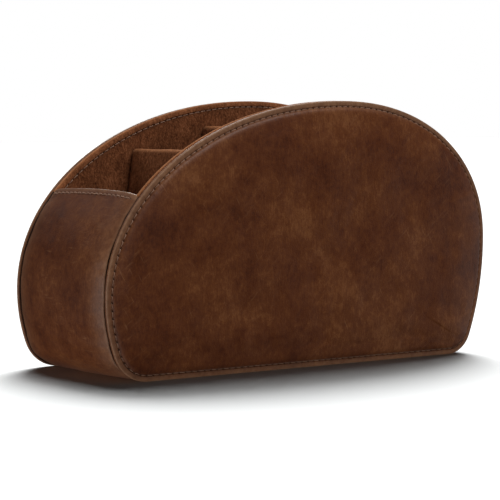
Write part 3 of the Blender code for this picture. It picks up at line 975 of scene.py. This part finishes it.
def arched(distances, y):
    """Distances whose ends rise a little towards the middle of the band."""
    rise = HEM_ARCH * (1 - (y / HALF_COVER) ** 2)
    left = unit(1 - (distances - LEFT_HEM) / 0.03) ** 2
    right = unit(1 - (RIGHT_HEM - distances) / 0.03) ** 2
    return distances - rise * left + rise * right


def band_swelling(rows, y):
    """How far the foam swells the strip, at distances round it and places across it."""
    cloth_rows = np.arange(LEFT_HEM + HEM_SEAM, RIGHT_HEM - HEM_SEAM, 2 * BAND_STEP)
    cloth_y = np.linspace(-HALF_COVER, HALF_COVER, 25)
    heights = outline_at(cloth_rows[:, None])[1]
    points = band(cloth_rows[:, None], GUSSET_INSET - crown(cloth_y, heights), cloth_y)
    index = np.arange(points[..., 0].size).reshape(points.shape[:2])
    held = np.concatenate([index[0], index[-1], index[1:-1, 0], index[1:-1, -1]])
    moved = swollen(points.reshape(-1, 3), grid_faces(index).tolist(), held, BAND_SWELL_LIMIT)
    swelling = np.linalg.norm(moved, axis=1).reshape(index.shape)
    along = np.stack([np.interp(rows, cloth_rows, column) for column in swelling.T], axis=1)
    return np.stack([np.interp(y, cloth_y, row) for row in along])


def build_gusset_leather():
    """The strip over both hems, with its seam channel and needle holes; it creases most where it bends
    round the bottom corners."""
    y = band_y[None, :]
    x, z, normal_x, normal_z = outline_at(band_rows)
    from_edge = HALF_COVER - np.abs(y)
    on_surface = 1 - folded
    hem_distance = np.minimum(band_rows - LEFT_HEM, RIGHT_HEM - band_rows)
    from_seam = hem_distance - HEM_SEAM
    phase = (y + HALF_COVER) / (2 * HALF_COVER) * HEM_STITCHES % 1
    along = np.minimum(phase, 1 - phase) * 2 * HALF_COVER / HEM_STITCHES
    channel = on_surface * bell(from_seam, 0.0007) * unit(from_edge / 0.004)
    hole = on_surface * needle_holes(along, from_seam) * (from_edge > 0.002)

    gathered = np.exp(-from_edge / 0.006) * unit(from_edge / 0.002)
    gather = waves(band_rows, 0 * y, 0.0075, 51) * gathered
    uneven = 0.00022 * waves(band_rows, y, 0.030, 52) + 0.00008 * waves(band_rows, y * 0.5, 0.011, 53)
    bend = bell(z - 0.018, 0.016) * (np.abs(x) > 0.08)
    creased = 0.00010 * waves(band_rows, y * 0.18, 0.0055, 54) * (0.35 + bend)
    free = unit(hem_distance / 0.006) * unit(z / 0.012)
    relief_out = free * (0.00022 * gather + uneven + creased + band_swelling(band_rows[:, 0], y[0]))

    tuck = EDGE_TUCK * unit(1 - from_edge / 0.0012) ** 2
    surface = GUSSET_INSET - crown(y, z) + tuck - relief_out
    surface = surface + HEM_SEAM_DEPTH * channel + HEM_HOLE_DEPTH * hole
    inset = surface * on_surface + FOLD_END * folded
    outer = band(arched(band_rows, y), inset, y)
    outer[..., 2] = np.maximum(outer[..., 2], 0.0)
    inner = inner_side(outer, -LEATHER_THICKNESS)
    # Painted highlights lighten the hem's crest, the hem band above the stitches, the rolled edges and a
    # line along each edge. Painted shade darkens the needle holes, the channel, the groove at each edge and
    # the folded-in part of the hem.
    crest = bell(hem_distance - 0.0003, 0.0007)
    hem_band = 0.26 * unit((HEM_SEAM + 0.0004 - hem_distance) / 0.0008)
    rolled_edge = 0.30 * bell(from_edge, 0.0085)
    edge_line = 0.30 * bell(from_edge - 0.0007, 0.0006)
    wear = 1.4 * crest + hem_band + rolled_edge + edge_line
    groove = 0.8 * bell(from_edge, 0.0003)
    hollow = unit(1.3 * hole + 0.1 * channel + groove + 0.8 * (folded > 0.9))
    piece = slab("gusset_leather_band", outer, inner, leather, wear=wear, hollow=hollow)
    hand_over(piece, "gusset_leather")


build_gusset_leather()


# Hem stitches
# A row of the same thread runs across each end of the band, just below the fold of its hem, and holds
# the fold down. It is a little thicker than the panels' thread.

def hem_stitches(name, node, distance):
    """Stitches from needle hole to needle hole across the band."""
    holes_y = np.linspace(-HALF_COVER, HALF_COVER, HEM_STITCHES + 1)[1:-1]
    height = outline_at(distance)[1]
    holes = band(arched(distance, holes_y), GUSSET_INSET - crown(holes_y, height) + HEM_SEAM_DEPTH, holes_y)
    outward = band(distance, np.array(-1.0), 0.0) - band(distance, np.array(0.0), 0.0)
    outward = np.broadcast_to(outward, (len(holes) - 1, 3))
    stitch_row(name, holes[:-1], holes[1:], outward, node, entry=0.30, drop=0.44, thickness=1.25)


hem_stitches("left_hem_stitches", "left_hem_thread", LEFT_HEM + HEM_SEAM)
hem_stitches("right_hem_stitches", "right_hem_thread", RIGHT_HEM - HEM_SEAM)


# End and floor linings
# Three pieces of suede are glued over the inside of the band, one on each end and one on the floor.
# They meet in the bottom corners.

LINING_INSET = GUSSET_BOARD_INSET + 0.0015 + GAP
BAND_LINING_THICKNESS = 0.0009
FLOOR_TOP = LINING_INSET + BAND_LINING_THICKNESS
LINING_ROUND = 0.0007
base_left_end = outline_lengths[len(left_side) - 1]
base_right_end = outline_lengths[len(left_side)]


def band_lining(name, node, start, end, seed):
    """Suede strip whose free edges are rounded over towards the board under it."""
    steps = round((end - start) / BAND_STEP)
    rows = np.linspace(start + 0.0006, end - 0.0006, steps)
    rows = np.concatenate([[start, start + 0.0002], rows, [end - 0.0002, end]])[:, None]
    y = np.linspace(0.001 - HALF_BAND, HALF_BAND - 0.001, 58)
    y = np.concatenate([[-HALF_BAND, 0.0003 - HALF_BAND], y, [HALF_BAND - 0.0003, HALF_BAND]])[None, :]
    from_end = np.minimum(rows - start, end - rows)
    from_edge = HALF_BAND - np.abs(y)
    round_end = unit(1 - from_end / LINING_ROUND) ** 2
    round_edge = unit(1 - from_edge / LINING_ROUND) ** 2
    rounded = LINING_ROUND * (round_end + round_edge)
    uneven = 0.00006 * (1 + waves(rows, y, 0.018, seed)) * unit(from_end / 0.004)
    top = FLOOR_TOP - np.clip(rounded + uneven, 0, BAND_LINING_THICKNESS - 0.0001)
    outer = band(rows, top, y)
    inner = band(rows, np.array(LINING_INSET), y)
    # The rounded ends get a painted highlight, and painted shade darkens the long edges where the strip
    # meets the panels.
    wear = 0.7 * unit(1 - from_end / 0.0015)
    hollow = 0.5 * np.exp(-from_edge / 0.0015)
    piece = slab(name, outer, inner, suede, wear=wear, hollow=hollow)
    hand_over(piece, node)


band_lining("left_end_suede", "left_end_lining", LEFT_HEM + 0.0004, base_left_end, 61)
band_lining("floor_suede", "floor_lining", base_left_end + GAP, base_right_end - GAP, 62)
band_lining("right_end_suede", "right_end_lining", base_right_end, RIGHT_HEM - 0.0004, 63)


# Dividers
# Four boards are wrapped in suede and stand in the trough, leaning to the right. The suede is folded
# over the top of each board, so the top is round, and its ends are tucked in against the panels.

DIVIDER_COUNT = 4
DIVIDER_LEAN = math.radians(8.5)
DIVIDER_OUTER = 0.0025
DIVIDER_SUEDE = 0.0011
DIVIDER_ROWS = 60
TOP_CORNER = 0.0017
END_TUCK = 0.0016


def build_divider(number):
    """Suede cover from one foot over the top to the other foot."""
    node = f"divider_{number}_suede"
    low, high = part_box(node)
    foot = low.x + DIVIDER_OUTER / math.cos(DIVIDER_LEAN)
    length = (high.z - low.z - DIVIDER_OUTER) / math.cos(DIVIDER_LEAN)
    slant = DIVIDER_OUTER * math.tan(DIVIDER_LEAN)
    over = np.linspace(math.pi, 0, 17)
    flat = np.ones(DIVIDER_ROWS)
    offset = DIVIDER_OUTER * np.concatenate([-flat, np.cos(over), flat])
    left = np.linspace(-slant, length, DIVIDER_ROWS + 1)[:-1]
    right = np.linspace(length, slant, DIVIDER_ROWS + 1)[1:]
    along = np.concatenate([left, length + DIVIDER_OUTER * np.sin(over), right])
    offset = offset[:, None]
    along = along[:, None]
    ends = HALF_BAND - 0.004 * (1 - np.sin(np.linspace(0, math.pi / 2, 9)))
    y = np.concatenate([-ends[::-1], np.linspace(-ends[0], ends[0], 50)[1:-1], ends])[None, :]
    from_end = HALF_BAND - np.abs(y)
    corner = TOP_CORNER * (1 - np.sqrt(1 - unit(1 - from_end / TOP_CORNER) ** 2))
    tucked = unit(1 - from_end / END_TUCK) ** 2
    uneven = 0.00007 * waves(along, y, 0.026, 70 + number) * np.sign(offset) * unit(from_end / 0.006)
    sway = 0.00012 * np.cos(math.pi * y / HALF_BAND + number) * unit(from_end / 0.008)
    offset = offset * (1 - 0.5 * tucked) + uneven + sway * along / length
    along = along * (1 - corner / (length + DIVIDER_OUTER))
    along = along + 0.00007 * waves(y, 0 * y, 0.030, 80 + number) * (along / length) ** 6
    x = foot + offset * math.cos(DIVIDER_LEAN) + along * math.sin(DIVIDER_LEAN)
    z = low.z - offset * math.sin(DIVIDER_LEAN) + along * math.cos(DIVIDER_LEAN)
    z = np.maximum(z, low.z)
    outer = np.stack([x, np.broadcast_to(y, x.shape), z], axis=-1)
    inner = inner_side(outer, DIVIDER_SUEDE)
    # Painted highlights light the crest of the top and the very ends; painted shade darkens the ends against
    # the panels and the feet on the floor.
    crest = unit((along - length) / DIVIDER_OUTER)
    wear = unit(0.85 * crest ** 1.5 + 0.35 * unit(1 - from_end / 0.001))
    hollow = unit(1.3 * bell(from_end, 0.0012) + 0.4 * np.exp(-along / 0.002))
    piece = slab(f"divider_{number}_cover", outer, inner, suede, wear=wear, hollow=hollow)
    hand_over(piece, node)


for number in range(1, DIVIDER_COUNT + 1):
    build_divider(number)


# Floor, light and camera
# The organizer stands on a white sweep. Two suns from behind draw its soft shadow on the sweep, and soft
# boxes all round light the leather. The camera looks at its left front corner.

FLOOR_SIZE = 12.0
ROOM_LIGHT = (0.03, 0.03, 0.03)
SEEN_WHITE = (1.0, 1.0, 1.0)
LIGHT_AIM_HEIGHT = 0.06


def sweep_finish(place):
    mist = place.clouds(900.0, 2.0)
    return {
        "Base Color": mist.tint((0.55, 0.56, 0.56), (0.57, 0.58, 0.58)),
        "Roughness": 0.9 + 0.05 * mist,
        "Specular IOR Level": 0.05,
    }


sweep_material = make_material("white_sweep", sweep_finish)
sweep_corners = np.array([(-1, -1, 0), (1, -1, 0), (1, 1, 0), (-1, 1, 0)]) * FLOOR_SIZE / 2
sweep = make_piece("sweep", sweep_corners, [[0, 1, 2, 3]], sweep_material)

world = bpy.data.worlds.new("studio")
scene.world = world
world.use_nodes = True
rays = world.node_tree.nodes.new("ShaderNodeLightPath")
seen = Shade(rays.outputs["Is Camera Ray"]).tint(ROOM_LIGHT, SEEN_WHITE)
feed(world.node_tree.nodes["Background"], {"Strength": 1.0, "Color": seen})

sweep.visible_diffuse = False
sweep.visible_glossy = False
sweep_only = bpy.data.collections.new("lights_sweep_only")
sweep_only.objects.link(sweep)
all_but_sweep = bpy.data.collections.new("lights_all_but_sweep")
all_but_sweep.objects.link(sweep)
all_but_sweep.collection_objects[0].light_linking.link_state = "EXCLUDE"


def add_light(name, kind, heading, height, distance, energy, size, receivers):
    """Light aimed at the organizer; heading is degrees from the front towards the left, height degrees
    above the floor, and size metres, or degrees for the sun."""
    lamp = bpy.data.lights.new(name, kind)
    lamp.energy = energy
    if kind == "SUN":
        lamp.angle = math.radians(size)
    else:
        lamp.shape = "SQUARE"
        lamp.size = size
    made = bpy.data.objects.new(name, lamp)
    turn = math.radians(heading)
    rise = math.radians(height)
    flat = distance * math.cos(rise)
    up = LIGHT_AIM_HEIGHT + distance * math.sin(rise)
    made.location = (-flat * math.sin(turn), -flat * math.cos(turn), up)
    made.rotation_euler = (math.pi / 2 - rise, 0, -turn)
    made.light_linking.receiver_collection = receivers
    if receivers != sweep_only:
        made.light_linking.blocker_collection = receivers
    scene.collection.objects.link(made)


add_light("low_sweep_light", "SUN", 222, 46, 2.0, 5.2, 30, sweep_only)
add_light("high_sweep_light", "SUN", 222, 51, 2.0, 4.2, 50, sweep_only)
for name, heading, height, distance, energy, size in (
    ("key_box", 10, 14, 1.5, 1.8, 0.9),
    ("floor_box", 62, -42, 1.2, 3.0, 1.2),
    ("right_box", -72, -8, 0.9, 0.6, 0.5),
    ("left_box", 100, -6, 1.3, 4.2, 0.8),
    ("top_box", -20, 62, 1.3, 8.4, 0.7),
    ("back_left_box", 150, 38, 1.4, 0.8, 0.6),
    ("back_box", 215, 40, 1.4, 7.0, 0.9),
):
    add_light(name, "AREA", heading, height, distance, energy, size, all_but_sweep)

camera_data = bpy.data.cameras.new("camera")
camera_data.sensor_width = 36.0
camera_data.lens = 153.5
camera_data.clip_start = 0.05
camera = bpy.data.objects.new("camera", camera_data)
camera.location = (-0.66169, -0.87729, 0.12953)
camera.rotation_euler = (math.radians(90 - 3.783), 0, math.radians(-36.807))
scene.collection.objects.link(camera)
scene.camera = camera
scene.view_settings.view_transform = "Standard"
